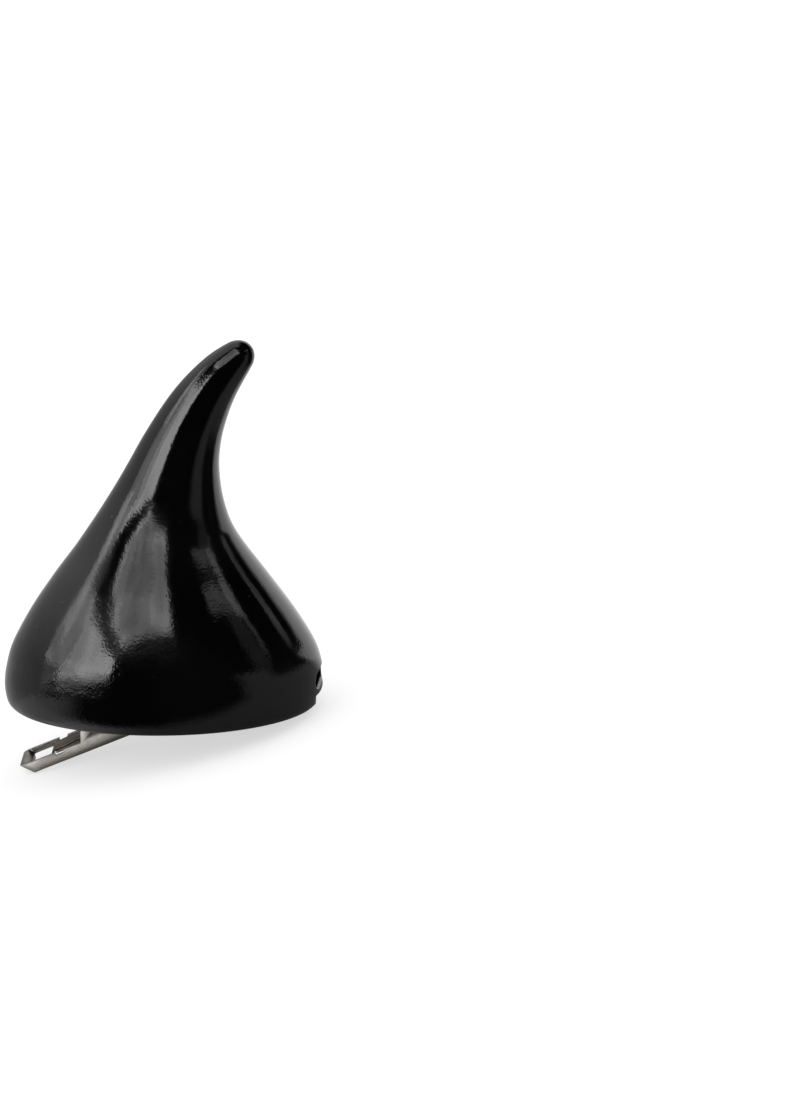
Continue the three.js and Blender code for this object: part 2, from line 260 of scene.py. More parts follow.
def skin_tree():
    tree, given, result = new_tree(
        "Skin over sections",
        "GeometryNodeTree",
        [
            ("Geometry", "Geometry", None),
            ("Sides", "Int", 240),
            ("Inset", "Float", 0.0),
            ("Base Oval", "Float", 0.725),
            ("Tip Oval", "Float", 0.94),
            ("Oval Blend Height", "Float", 50 * MM),
            ("Lump Height", "Float", 0.0),
            ("Lump Spacing", "Float", 12 * MM),
            ("Step Reach", "Float", 25.1 * MM),
            ("Stand Lean", "Float", 0.0),
            ("Stand Shift", "Vector", None),
            ("Material", "Material", None),
        ],
        [("Geometry", "Geometry", None)],
    )
    get = given.outputs

    # A smooth curve through the centres
    curve = add(tree, "GeometryNodeMeshToCurve", {"Mesh": get["Geometry"]}).outputs[0]
    curve = add(tree, "GeometryNodeCurveSplineType", {"Curve": curve}, spline_type="CATMULL_ROM").outputs[0]
    finer = {"Geometry": curve, "Resolution": CURVE_STEPS}
    curve = add(tree, "GeometryNodeSetSplineResolution", finer).outputs[0]
    curve = add(tree, "GeometryNodeResampleCurve", {"Curve": curve}, mode="EVALUATED").outputs[0]
    size = add(tree, "GeometryNodeAttributeDomainSize", {"Geometry": curve}, component="CURVE")
    points = size.outputs["Point Count"]

    # A grid whose x counts rows and whose y is the share of a turn
    rows = calc(tree, "ADD", points, END_ROWS)
    span = calc(tree, "SUBTRACT", rows, 1)
    columns = calc(tree, "ADD", get["Sides"], 1)
    grid = add(
        tree,
        "GeometryNodeMeshGrid",
        {"Size X": span, "Size Y": 1.0, "Vertices X": rows, "Vertices Y": columns},
    ).outputs["Mesh"]
    here = split(tree, add(tree, "GeometryNodeInputPosition").outputs[0])
    row = calc(tree, "ROUND", plus(tree, here["X"], span, 0.5))
    angle = calc(tree, "MULTIPLY", calc(tree, "ADD", here["Y"], 0.5), -2 * math.pi)

    # End rows shrink to the middle: the first and the last wholly, the second by the rim share
    after_first = calc(tree, "GREATER_THAN", row, 0.5)
    after_rim = calc(tree, "GREATER_THAN", row, 1.5)
    before_last = calc(tree, "LESS_THAN", row, calc(tree, "SUBTRACT", span, 0.5))
    rim = mixed(tree, after_rim, RIM_SHARE, 1.0)
    share = calc(tree, "MULTIPLY", calc(tree, "MULTIPLY", after_first, rim), before_last)
    index = calc(tree, "SUBTRACT", row, END_ROWS - 1)

    def from_curve(value):
        node = add(
            tree,
            "GeometryNodeSampleIndex",
            {"Geometry": curve, "Value": value, "Index": index},
            data_type="FLOAT_VECTOR",
            domain="POINT",
            clamp=True,
        )
        return split(tree, node.outputs[0])

    centre = from_curve(add(tree, "GeometryNodeInputPosition").outputs[0])
    named = add(tree, "GeometryNodeInputNamedAttribute", {"Name": "section"}, data_type="FLOAT_VECTOR")
    section = from_curve(named.outputs["Attribute"])
    lean, half_width = section["X"], section["Y"]

    # The oval of this row, leant over
    blend = rise(tree, centre["Z"], 0.0, get["Oval Blend Height"])
    oval = mixed(tree, blend, get["Base Oval"], get["Tip Oval"])
    half_depth = calc(tree, "MULTIPLY", half_width, oval)

    def reach(half, turn_share):
        inside = calc(tree, "MAXIMUM", calc(tree, "SUBTRACT", half, get["Inset"]), 0.0)
        return calc(tree, "MULTIPLY", calc(tree, "MULTIPLY", inside, turn_share), share)

    wide = reach(half_width, calc(tree, "COSINE", angle))
    deep = reach(half_depth, calc(tree, "SINE", angle))
    x = calc(tree, "ADD", centre["X"], calc(tree, "MULTIPLY", wide, calc(tree, "COSINE", lean)))
    z = calc(tree, "SUBTRACT", centre["Z"], calc(tree, "MULTIPLY", wide, calc(tree, "SINE", lean)))

    # The flat step in the wall under the slot, on the side that the tip leans to
    stepped = calc(tree, "MINIMUM", x, get["Step Reach"])
    x = rise(tree, z, STEP_LOW, STEP_HIGH, stepped, x)
    y = calc(tree, "ADD", centre["Y"], deep)
    place = add(tree, "ShaderNodeCombineXYZ", {"X": x, "Y": y, "Z": z}).outputs[0]
    skin = add(tree, "GeometryNodeSetPosition", {"Geometry": grid, "Position": place}).outputs[0]
    merged = {"Geometry": skin, "Distance": MERGE_DISTANCE}
    skin = add(tree, "GeometryNodeMergeByDistance", merged).outputs[0]

    # Slow lumps, none on the flat base
    frequency = calc(tree, "DIVIDE", 1.0, get["Lump Spacing"])
    swell = calc(tree, "SUBTRACT", noise(tree, frequency, 1.0), NOISE_MIDDLE)
    above_base = split(tree, add(tree, "GeometryNodeInputPosition").outputs[0])["Z"]
    fade = rise(tree, above_base, LUMPS_FROM, LUMPS_FULL)
    height = calc(tree, "MULTIPLY", swell, calc(tree, "MULTIPLY", fade, get["Lump Height"]))
    normal = add(tree, "GeometryNodeInputNormal").outputs[0]
    offset = add(tree, "ShaderNodeVectorMath", {0: normal, "Scale": height}, operation="SCALE").outputs[0]
    skin = add(tree, "GeometryNodeSetPosition", {"Geometry": skin, "Offset": offset}).outputs[0]

    # Stood on its toes and finished
    tilt = add(tree, "ShaderNodeCombineXYZ", {"Y": get["Stand Lean"]}).outputs[0]
    stood = {"Geometry": skin, "Translation": get["Stand Shift"], "Rotation": tilt}
    skin = add(tree, "GeometryNodeTransform", stood).outputs[0]
    skin = add(tree, "GeometryNodeSetShadeSmooth", {"Geometry": skin}).outputs[0]
    skin = add(tree, "GeometryNodeRealizeInstances", {"Geometry": skin}).outputs[0]
    finish = {"Geometry": skin, "Material": get["Material"]}
    skin = add(tree, "GeometryNodeSetMaterial", finish).outputs[0]
    tree.links.new(skin, result.inputs["Geometry"])
    return tree


SKIN = skin_tree()
print("skin tree:", len(SKIN.nodes), "nodes")

# %% [markdown]
# A finish comes before the shape that wears it, because the tree's last node sets it. Effects that
# several finishes share are node groups. Fine relief is two sizes of noise that give a bump height, as
# orange peel on a moulding or the rolled grain of sheet metal. Handling is what use leaves behind:
# hairline scratches, smudges and a little dust that settles where the surface faces up. The third group
# gives rubbed edges, which are wear, and a mask of painted shade: darker inside a bent sheet, where the
# piece shuts out the open space, and on faces that look up.

# %% Shared effects
HAIR_TURN = (0.4, 0.9, 0.3)
HAIR_STRETCH = (0.5, 0.5, 30.0)
HAIR_WIDTH = 0.02
HAIR_PATCHES = (0.6, 0.75)
SPECK_RIM = (0.05, 0.2)
SPECK_CHANCE = 0.1
DUST_SLOPE = (0.0, 0.7)
SMUDGE_LEVELS = (0.4, 0.7)
RUBBED_TURN = (0.8, 0.97)
# The next two shape the mask of painted shade: darker in shut-in hollows and on faces that look up
OPEN_SHARE = (0.5, 0.95)
UP_SHADE_SLOPE = (0.1, 0.5)


def own_place(tree):
    return add(tree, "ShaderNodeTexCoord").outputs["Object"]


def stretched(tree, scale_vector, tilt=0.0):
    """Object coordinates, tilted about Y and then scaled along each axis."""
    tilted = {"Vector": own_place(tree), "Angle": tilt}
    tilted = add(tree, "ShaderNodeVectorRotate", tilted, rotation_type="Y_AXIS").outputs[0]
    return add(tree, "ShaderNodeMapping", {"Vector": tilted, "Scale": scale_vector}).outputs[0]


def mixed_colour(tree, share, first, second):
    """A mix of two colours, each a node's output or three numbers."""
    node = add(tree, "ShaderNodeMix", {0: share}, data_type="RGBA")
    for socket, colour in ((node.inputs[6], first), (node.inputs[7], second)):
        feed(tree, socket, colour if isinstance(colour, bpy.types.NodeSocket) else (*colour, 1))
    return node.outputs[2]


def fine_relief_group():
    tree, given, result = new_tree(
        "Fine relief",
        "ShaderNodeTree",
        [("Coarse Scale", "Float", 600.0), ("Fine Scale", "Float", 2500.0), ("Fine Share", "Float", 0.3)],
        [("Height", "Float", None)],
    )
    get = given.outputs
    place = own_place(tree)
    coarse = noise(tree, get["Coarse Scale"], 2.0, Vector=place)
    fine = noise(tree, get["Fine Scale"], 1.0, Vector=place)
    tree.links.new(mixed(tree, get["Fine Share"], coarse, fine), result.inputs["Height"])
    return tree


def handling_group():
    tree, given, result = new_tree(
        "Handling",
        "ShaderNodeTree",
        [("Scratch Scale", "Float", 90.0), ("Dust Scale", "Float", 4000.0), ("Dust Share", "Float", 0.5)],
        [("Scratches", "Float", None), ("Dust", "Float", None), ("Smudges", "Float", None)],
    )
    get = given.outputs
    place = own_place(tree)

    # Hairlines: the thin level lines of a much stretched noise, in patches
    slanted = {"Vector": place, "Rotation": HAIR_TURN, "Scale": HAIR_STRETCH}
    slanted = add(tree, "ShaderNodeMapping", slanted).outputs[0]
    lines = noise(tree, get["Scratch Scale"], 0.0, Vector=slanted)
    level = calc(tree, "ABSOLUTE", calc(tree, "SUBTRACT", lines, NOISE_MIDDLE))
    hair = rise(tree, level, 0.0, HAIR_WIDTH, 1.0, 0.0)
    patches = noise(tree, get["Scratch Scale"], 1.0, Vector=place)
    hair = calc(tree, "MULTIPLY", hair, rise(tree, patches, *HAIR_PATCHES))
    tree.links.new(hair, result.inputs["Scratches"])

    # Dust: small specks on what faces up
    specks = add(tree, "ShaderNodeTexVoronoi", {"Vector": place, "Scale": get["Dust Scale"]}).outputs
    dot = rise(tree, specks["Distance"], *SPECK_RIM, 1.0, 0.0)
    draw = add(tree, "ShaderNodeSeparateColor", {"Color": specks["Color"]}).outputs[0]
    chosen = calc(tree, "LESS_THAN", draw, calc(tree, "MULTIPLY", get["Dust Share"], SPECK_CHANCE))
    upward = split(tree, add(tree, "ShaderNodeNewGeometry").outputs["Normal"])["Z"]
    dot = calc(tree, "MULTIPLY", calc(tree, "MULTIPLY", dot, chosen), rise(tree, upward, *DUST_SLOPE))
    tree.links.new(dot, result.inputs["Dust"])

    # Smudges: broad soft patches
    broad = noise(tree, get["Scratch Scale"], 4.0, Vector=place)
    tree.links.new(rise(tree, broad, *SMUDGE_LEVELS), result.inputs["Smudges"])
    return tree


def wear_and_shade_group():
    tree, given, result = new_tree(
        "Wear and painted shade",
        "ShaderNodeTree",
        [
            ("Edge Radius", "Float", 0.15 * MM),
            ("Shade Distance", "Float", 3 * MM),
            ("Up Shade Share", "Float", 0.8),
        ],
        [("Rubbed", "Float", None), ("Painted Shade", "Float", None)],
    )
    get = given.outputs

    # Edges: where a rounded normal turns away from the flat one
    rounded = add(tree, "ShaderNodeBevel", {"Radius": get["Edge Radius"]}, samples=6).outputs[0]
    flat = add(tree, "ShaderNodeNewGeometry").outputs["Normal"]
    turned = add(tree, "ShaderNodeVectorMath", {0: rounded, 1: flat}, operation="DOT_PRODUCT")
    rubbed = rise(tree, turned.outputs["Value"], *RUBBED_TURN, 1.0, 0.0)
    tree.links.new(rubbed, result.inputs["Rubbed"])

    # Painted shade: a mask for a darker tone where the piece itself shuts out much of the open space, and
    # on faces that look up
    distance = {"Distance": get["Shade Distance"]}
    openness = add(tree, "ShaderNodeAmbientOcclusion", distance, only_local=True).outputs["AO"]
    shut_in = rise(tree, openness, *OPEN_SHARE, 1.0, 0.0)
    faces_up = rise(tree, split(tree, flat)["Z"], *UP_SHADE_SLOPE)
    painted_shade = calc(tree, "MAXIMUM", shut_in, calc(tree, "MULTIPLY", faces_up, get["Up Shade Share"]))
    tree.links.new(painted_shade, result.inputs["Painted Shade"])
    return tree


FINE_RELIEF = fine_relief_group()
HANDLING = handling_group()
WEAR_AND_SHADE = wear_and_shade_group()


def use_group(tree, group, **values):
    node = tree.nodes.new("ShaderNodeGroup")
    node.node_tree = group
    for name, value in values.items():
        feed(tree, node.inputs[name.replace("_", " ")], value)
    return node.outputs


def new_material(name):
    material = bpy.data.materials.new(name)
    material.use_nodes = True
    tree = material.node_tree
    return material, tree, tree.nodes["Principled BSDF"]


def raise_bump(tree, shader, height, distance):
    bump = add(tree, "ShaderNodeBump", {"Height": height, "Strength": 1.0, "Distance": distance})
    tree.links.new(bump.outputs[0], shader.inputs["Normal"])


print("shared effects:", FINE_RELIEF.name, HANDLING.name, WEAR_AND_SHADE.name)

# %% [markdown]
# The vinyl is black all the way through, so nearly everything that shows is gloss. Its roughness is low
# and varies in soft smudges, and the orange peel makes the edge of a reflection shimmer, most of all
# round the foot. Faint lines run up the horn as the vinyl flowed, and the mould's parting line is a
# fine ridge where the two halves met, in the horn's middle plane.

# %% Black vinyl
VINYL_BLACK = (0.0008, 0.0008, 0.0009)
SMUDGED_BLACK = (0.0016, 0.0016, 0.0017)
DUST_GREY = (0.16, 0.155, 0.15)
CLEAN_ROUGHNESS = 0.09
SMUDGED_ROUGHNESS = 0.15
SCRATCH_ROUGHNESS = 0.06
DUST_ROUGHNESS = 0.4
VINYL_IOR = 1.5
FLOW_STRETCH = (650.0, 650.0, 45.0)
FLOW_TILT = math.radians(-20)
FLOW_SHARE = 0.2
PARTING_HALF_WIDTH = 0.09 * MM
PARTING_SHARE = 0.2
SCRATCH_SHARE = 0.03
PEEL_HEIGHT = 0.04 * MM
COARSE_PEEL_TOP = 9 * MM
FINE_PEEL_FROM = 15 * MM
COARSE_PEEL_SHARE = 1.35
FINE_PEEL_SHARE = 0.6
BASE_HEIGHT = (turn.inverted() @ stand.translation).z


def black_vinyl():
    material, tree, shader = new_material("black_vinyl")
    marks = use_group(tree, HANDLING, Scratch_Scale=70.0, Dust_Scale=1500.0, Dust_Share=0.35)
    peel = use_group(tree, FINE_RELIEF, Coarse_Scale=700.0, Fine_Scale=2600.0, Fine_Share=0.35)

    tone = mixed_colour(tree, marks["Smudges"], VINYL_BLACK, SMUDGED_BLACK)
    tone = mixed_colour(tree, marks["Dust"], tone, DUST_GREY)
    tree.links.new(tone, shader.inputs["Base Color"])
    rough = mixed(tree, marks["Smudges"], CLEAN_ROUGHNESS, SMUDGED_ROUGHNESS)
    rough = plus(tree, rough, marks["Scratches"], SCRATCH_ROUGHNESS)
    rough = plus(tree, rough, marks["Dust"], DUST_ROUGHNESS)
    tree.links.new(rough, shader.inputs["Roughness"])
    shader.inputs["IOR"].default_value = VINYL_IOR

    across = calc(tree, "ABSOLUTE", split(tree, own_place(tree))["Y"])
    ridge = rise(tree, across, 0.0, PARTING_HALF_WIDTH, 1.0, 0.0)
    flow = noise(tree, 1.0, 2.0, Vector=stretched(tree, FLOW_STRETCH, FLOW_TILT))
    height = plus(tree, peel["Height"], flow, FLOW_SHARE)
    height = plus(tree, height, ridge, PARTING_SHARE)
    height = plus(tree, height, marks["Scratches"], -SCRATCH_SHARE)
    upright = split(tree, stretched(tree, (1.0, 1.0, 1.0), -LEAN))["Z"]
    above_base = calc(tree, "SUBTRACT", upright, BASE_HEIGHT)
    share = rise(tree, above_base, COARSE_PEEL_TOP, FINE_PEEL_FROM, COARSE_PEEL_SHARE, FINE_PEEL_SHARE)
    raise_bump(tree, shader, calc(tree, "MULTIPLY", height, share), PEEL_HEIGHT)
    return material


vinyl = black_vinyl()
print("vinyl:", len(vinyl.node_tree.nodes), "nodes")

# %% [markdown]
# Now the horn itself. The table becomes a line of points with the section attribute, the tree's inputs
# are set by their identifiers, and the evaluated result is copied to a plain mesh. The cavity is the
# same rule with an inset, and the slot is a cutter whose lips flare where they meet the skin, which
# leaves rounded edges. Both are taken away with Boolean modifiers.

# %% Horn skin, cavity and slot
SKIN_SIDES = 240
CAVITY_SIDES = 72
LUMP_HEIGHT = 0.22 * MM
SLOT_WIDTH = 8 * MM
SLOT_HEIGHT = 2.6 * MM
SLOT_MIDDLE = 5.0 * MM
SLOT_SIDE = -1.0 * MM
SLOT_LIP = 0.45 * MM
SLOT_ARC_STEPS = 14
SLOT_ROW = 3
SLOT_OVAL = 0.727
RING_DEPTHS = (-3.0, 0.0, 0.08, 0.2, 0.4, 0.7, 1.0, 9.0)
HORN_SHARP_ANGLE = math.radians(50)


def link_mesh(name, mesh):
    made = bpy.data.objects.new(name, mesh)
    bpy.context.scene.collection.objects.link(made)
    return made


def link_shape(name, shape):
    """Puts a finished bmesh into an object of its own."""
    mesh = bpy.data.meshes.new(name)
    shape.to_mesh(mesh)
    shape.free()
    return link_mesh(name, mesh)


def section_line(name, rows):
    mesh = bpy.data.meshes.new(name)
    points = [bowed(r) for r in rows]
    mesh.from_pydata(points, [(i, i + 1) for i in range(len(rows) - 1)], [])
    section = mesh.attributes.new("section", "FLOAT_VECTOR", "POINT")
    for item, r in zip(section.data, rows):
        item.vector = (math.radians(r["lean"]), r["half_width"] * MM, 0)
    return link_mesh(name, mesh)


def skin_over(made, **values):
    modifier = made.modifiers.new("skin", "NODES")
    modifier.node_group = SKIN
    names = {item.name: item.identifier for item in SKIN.interface.items_tree if item.in_out == "INPUT"}
    values.update(Material=vinyl, Stand_Lean=LEAN, Stand_Shift=stand.translation)
    for name, value in values.items():
        modifier[names[name.replace("_", " ")]] = value
    return made


def slot_outline(grow):
    """The slot's stadium outline in y and z, grown by a distance."""
    radius = SLOT_HEIGHT / 2 + grow
    half = SLOT_WIDTH / 2 - SLOT_HEIGHT / 2
    for side in (1, -1):
        for i in range(SLOT_ARC_STEPS + 1):
            angle = math.pi * (i / SLOT_ARC_STEPS - 0.5)
            y = SLOT_SIDE + side * (half + radius * math.cos(angle))
            yield y, SLOT_MIDDLE + side * radius * math.sin(angle)


def skin_x(y):
    """How far out the skin lies at the slot's height."""
    row = sections[SLOT_ROW]
    wide = row["half_width"] * MM
    return row["x"] * MM + wide * math.sqrt(1 - (y / (wide * SLOT_OVAL)) ** 2)


def slot_cutter():
    """Rings of the outline from outside the skin to inside the cavity, flared where they cross the skin."""
    shape = bmesh.new()
    layers = []
    for depth in RING_DEPTHS:
        inside = min(max(depth, 0), 1)
        grow = SLOT_LIP * (1 - math.sqrt(1 - (1 - inside) ** 2))
        ring = [Vector((skin_x(y) - depth * SLOT_LIP, y, z)) for y, z in slot_outline(grow)]
        layers.append([shape.verts.new(stand @ point) for point in ring])
    for near, far in zip(layers, layers[1:]):
        for i in range(len(near)):
            k = (i + 1) % len(near)
            shape.faces.new((near[i], near[k], far[k], far[i]))
    shape.faces.new(layers[0])
    shape.faces.new(layers[-1])
    bmesh.ops.triangulate(shape, faces=shape.faces)
    bmesh.ops.recalc_face_normals(shape, faces=shape.faces)
    return link_shape("slot_cutter", shape)


def plain_mesh(made):
    """Puts the evaluated result of an object's modifiers into its mesh and removes them."""
    graph = bpy.context.evaluated_depsgraph_get()
    mesh = bpy.data.meshes.new_from_object(made.evaluated_get(graph), depsgraph=graph)
    made.modifiers.clear()
    made.data = mesh
    mesh.name = made.name


def cut_away(made, tool):
    cut = made.modifiers.new("cut", "BOOLEAN")
    cut.operation = "DIFFERENCE"
    cut.solver = "MANIFOLD"
    cut.object = tool
    plain_mesh(made)
    bpy.data.objects.remove(tool)


horn = skin_over(section_line("horn", skin_sections), Sides=SKIN_SIDES, Lump_Height=LUMP_HEIGHT)
cavity = section_line("horn_cavity", cavity_sections)
cavity = skin_over(cavity, Sides=CAVITY_SIDES, Inset=HORN_WALL * MM)
for tool in (cavity, slot_cutter()):
    cut_away(horn, tool)
horn.data.set_sharp_from_angle(angle=HORN_SHARP_ANGLE)
horn.data.materials.clear()
horn.data.materials.append(vinyl)
print("horn:", len(horn.data.polygons), "faces")

# %% [markdown]
# The clip is stamped from nickel-plated sheet. The plating is a mirror that handling has dulled: a fine
# grain along the strip, greyer patches, a warm tint and bright edges, with painted shade darkening the
# inside of the bent sheet. The spring is bare steel, darker and oilier. Both finishes use the same groups
# with other values.

# %% Nickel plate and spring steel
METAL_SCRATCH_ROUGHNESS = 0.15
# Roughness added where the shade is painted
SHADE_ROUGHNESS = 0.2
GRAIN_STRETCH = (60.0, 2500.0, 900.0)
GRAIN_SHARE = 0.5
GRAIN_HEIGHT = 0.006 * MM


def sheet_metal(name, bright, dull, shade_tone, rubbed, roughness):
    material, tree, shader = new_material(name)
    marks = use_group(tree, HANDLING, Scratch_Scale=220.0, Dust_Scale=2500.0, Dust_Share=0.3)
    grain = use_group(tree, FINE_RELIEF, Coarse_Scale=1800.0, Fine_Scale=6000.0, Fine_Share=0.4)
    wear_and_shade = use_group(tree, WEAR_AND_SHADE)
    tone = mixed_colour(tree, marks["Smudges"], bright, dull)
    # Painted shade: this dark tone goes where the group's mask of painted shade is
    tone = mixed_colour(tree, wear_and_shade["Painted Shade"], tone, shade_tone)
    tone = mixed_colour(tree, wear_and_shade["Rubbed"], tone, rubbed)
    tree.links.new(tone, shader.inputs["Base Color"])
    shader.inputs["Metallic"].default_value = 1.0
    rough = mixed(tree, marks["Smudges"], *roughness)
    rough = plus(tree, rough, marks["Scratches"], METAL_SCRATCH_ROUGHNESS)
    rough = plus(tree, rough, wear_and_shade["Painted Shade"], SHADE_ROUGHNESS)
    tree.links.new(rough, shader.inputs["Roughness"])
    lines = noise(tree, 1.0, 2.0, Vector=stretched(tree, GRAIN_STRETCH))
    raise_bump(tree, shader, plus(tree, grain["Height"], lines, GRAIN_SHARE), GRAIN_HEIGHT)
    return material


nickel = sheet_metal(
    "nickel_plate",
    bright=(0.70, 0.67, 0.62),
    dull=(0.52, 0.49, 0.44),
    # the fourth tone is painted shade inside the bent sheet
    shade_tone=(0.055, 0.047, 0.04),
    rubbed=(0.82, 0.80, 0.76),
    roughness=(0.2, 0.34),
)
steel = sheet_metal(
    "spring_steel",
    bright=(0.16, 0.135, 0.112),
    dull=(0.095, 0.08, 0.067),
    # the fourth tone is painted shade inside the bent sheet
    shade_tone=(0.075, 0.06, 0.048),
    rubbed=(0.5, 0.47, 0.43),
    roughness=(0.3, 0.45),
)
print("metals:", nickel.name, steel.name)

# %% [markdown]
# The clip's solids have the right shape already, with edges as sharp as a drawing. Real stamped edges
# are broken by tumbling, and that thin bright line makes metal read as metal. So each solid is copied,
# its loose triangles and hair-thin edges are merged, flat areas become single faces, and a small bevel
# rounds what is left. The bevel's own overlap guard stays off, as it would shrink every bevel to suit
# the one shortest edge. In the lever, a box first opens the window's far side up to the foot of the
# wall, where the floor shows through on the real one.

# %% Sheet metal with broken edges
SHORT_EDGE = 0.03 * MM
FLAT_ANGLE = math.radians(0.5)
EDGE_ANGLE = math.radians(50)
EDGE_SEGMENTS = 2
LEVER_EDGE = 0.06 * MM
PLATE_EDGE = 0.1 * MM
PIN_EDGE = 0.15 * MM
SPRING_EDGE = 0.06 * MM
LEVER_PITCH = math.radians(22.3)
LEVER_ALONG = Vector((math.cos(LEVER_PITCH), 0, math.sin(LEVER_PITCH)))
LEVER_TOE = Vector((-21, 0, -11.1)) * MM
WINDOW_START = -0.3 * MM
WINDOW_LENGTH = 3.6 * MM
WINDOW_REACH = 5 * MM
WINDOW_DEPTH = 2.2 * MM


def flattened(mesh):
    """Merges hair-thin edges and makes each flat area one face."""
    shape = bmesh.new()
    shape.from_mesh(mesh)
    bmesh.ops.remove_doubles(shape, verts=shape.verts, dist=SHORT_EDGE)
    bmesh.ops.dissolve_limit(shape, angle_limit=FLAT_ANGLE, verts=shape.verts, edges=shape.edges)
    shape.to_mesh(mesh)
    shape.free()
    return mesh


def rounded_copy(name, node, edge_radius, material, cutter=None):
    mesh = flattened(frame["nodes"][node].data.copy())
    mesh.materials.clear()
    mesh.materials.append(material)
    mesh.shade_smooth()
    made = link_mesh(name, mesh)
    if cutter:
        cut_away(made, cutter)
        flattened(made.data)
    bevel = made.modifiers.new("broken edges", "BEVEL")
    bevel.width = edge_radius
    bevel.segments = EDGE_SEGMENTS
    bevel.limit_method = "ANGLE"
    bevel.angle_limit = EDGE_ANGLE
    bevel.use_clamp_overlap = False
    bevel.harden_normals = True
    plain_mesh(made)
    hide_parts(node)
    return made


def window_cutter():
    middle = LEVER_TOE + (WINDOW_START + WINDOW_LENGTH / 2) * LEVER_ALONG
    place = Matrix.Translation(middle) @ Matrix.Rotation(-LEVER_PITCH, 4, "Y")
    size = Matrix.Diagonal((WINDOW_LENGTH, WINDOW_REACH, WINDOW_DEPTH, 1))
    shift = Matrix.Translation((0, WINDOW_REACH / 2, 0))
    shape = bmesh.new()
    bmesh.ops.create_cube(shape, size=1, matrix=stand @ place @ shift @ size)
    return link_shape("window_cutter", shape)


lever = rounded_copy("lever", "clip_lever", LEVER_EDGE, nickel, window_cutter())
plate = rounded_copy("plate", "clip_plate", PLATE_EDGE, nickel)
pin = rounded_copy("pin", "hinge_pin", PIN_EDGE, nickel)
spring = rounded_copy("spring", "leaf_spring", SPRING_EDGE, steel)
print("clip faces:", [len(p.data.polygons) for p in (lever, plate, pin, spring)])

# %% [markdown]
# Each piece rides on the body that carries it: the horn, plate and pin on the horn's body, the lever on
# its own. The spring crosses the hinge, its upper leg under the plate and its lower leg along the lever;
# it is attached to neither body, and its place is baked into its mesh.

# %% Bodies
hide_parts("horn_shell")
for piece in (horn, plate, pin):
    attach(piece, "horn")
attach(lever, "lever")
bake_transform(spring)

# %% [markdown]
# The stage is a plain pale floor that takes soft shadows. It glows a little, as a table of white acrylic
# lit from below does, which keeps the shadow light. Black gloss mirrors whatever is round it, and a
# floor that is pale to the horizon would turn the whole foot of the horn grey. So for mirror rays alone
# the floor's colour is a painted reflection: grey near the clip with a painted shadow under the lever,
# nearly black further off in front and on the right, and brighter on the left and behind. Each smooth
# step gives where it starts and ends and the shades there.

# %% Floor
FLOOR_RADIUS = 6.0
FLOOR_SIDES = 96
FLOOR_SHADE = 0.45
FLOOR_GLOW = 0.6
FLOOR_ROUGHNESS = 0.9
WHITE = (1, 1, 1, 1)
SHADOW_ALONG_LEVER = (-26 * MM, -8 * MM, 1.0, 0.5)
SHADOW_BEFORE_LEVER = (-10 * MM, -3 * MM, 1.0, 0.4)
BY_BASE = (62 * MM, 80 * MM, 0.26, 0.02)
LEVER_TO_BASE = (-16 * MM, -2 * MM)
FAR_LEFT = (-45 * MM, -28 * MM, 0.65)
LEFT_FRONT = (-0.95, -0.7, 0.55, 0.0)
RIGHT_FRONT = (0.62, 0.78, 0.0, 0.26)
OFF_RIGHT = (0.9, 0.97, 1.0, 0.0)
LEFT_TO_RIGHT_BEHIND = (-0.3, 0.4, 0.45, 0.95)
FRONT_TO_BESIDE = (-34 * MM, -24 * MM)
BESIDE_TO_BEHIND = (10 * MM, 30 * MM)


def mirrored_floor(tree):
    """The painted reflection: how pale the floor looks in mirror rays, from the place on it."""
    place = own_place(tree)
    x, y, _ = split(tree, place)
    facing = add(tree, "ShaderNodeVectorMath", {0: place}, operation="NORMALIZE").outputs[0]
    side = split(tree, facing)["X"]
    off_right = rise(tree, side, *OFF_RIGHT)
    # Painted shadow, seen in mirror rays only: the floor darker along and before the lever
    shadow_by_lever = calc(tree, "MULTIPLY", rise(tree, x, *SHADOW_ALONG_LEVER), rise(tree, y, *SHADOW_BEFORE_LEVER))
    beside = rise(tree, x, *LEVER_TO_BASE, shadow_by_lever, rise(tree, x, *BY_BASE))
    beside = rise(tree, x, *FAR_LEFT, beside)
    right_front = calc(tree, "MULTIPLY", rise(tree, side, *RIGHT_FRONT), off_right)
    in_front = calc(tree, "ADD", rise(tree, side, *LEFT_FRONT), right_front)
    behind = calc(tree, "MULTIPLY", rise(tree, side, *LEFT_TO_RIGHT_BEHIND), off_right)
    forward = rise(tree, y, *FRONT_TO_BESIDE, in_front, beside)
    return rise(tree, y, *BESIDE_TO_BEHIND, forward, behind)


def pale_floor():
    shape = bmesh.new()
    bmesh.ops.create_circle(shape, cap_ends=True, radius=FLOOR_RADIUS, segments=FLOOR_SIDES)
    made = link_shape("floor", shape)
    material, tree, shader = new_material("pale_floor")
    mirrored = add(tree, "ShaderNodeLightPath").outputs["Is Glossy Ray"]
    shade = mixed(tree, mirrored, FLOOR_SHADE, mirrored_floor(tree))
    tree.links.new(shade, shader.inputs["Base Color"])
    glow = mixed(tree, mirrored, FLOOR_GLOW, 0.0)
    tree.links.new(glow, shader.inputs["Emission Strength"])
    shader.inputs["Emission Color"].default_value = WHITE
    shader.inputs["Roughness"].default_value = FLOOR_ROUGHNESS
    shader.inputs["Specular IOR Level"].default_value = 0.0
    made.data.materials.append(material)
    return made


floor = pale_floor()
print(floor.name, "radius in m:", FLOOR_RADIUS)

# %% [markdown]
# Soft light comes from flat glowing panels. Each is drawn by the directions of its corners, as seen from
# the middle of the horn, so a highlight's edge can be moved by one number. A direction is an azimuth, 0
# towards the camera and 90 towards the tip's side, and an elevation. The cloth of a softbox never glows
# evenly, so a slow noise varies it.

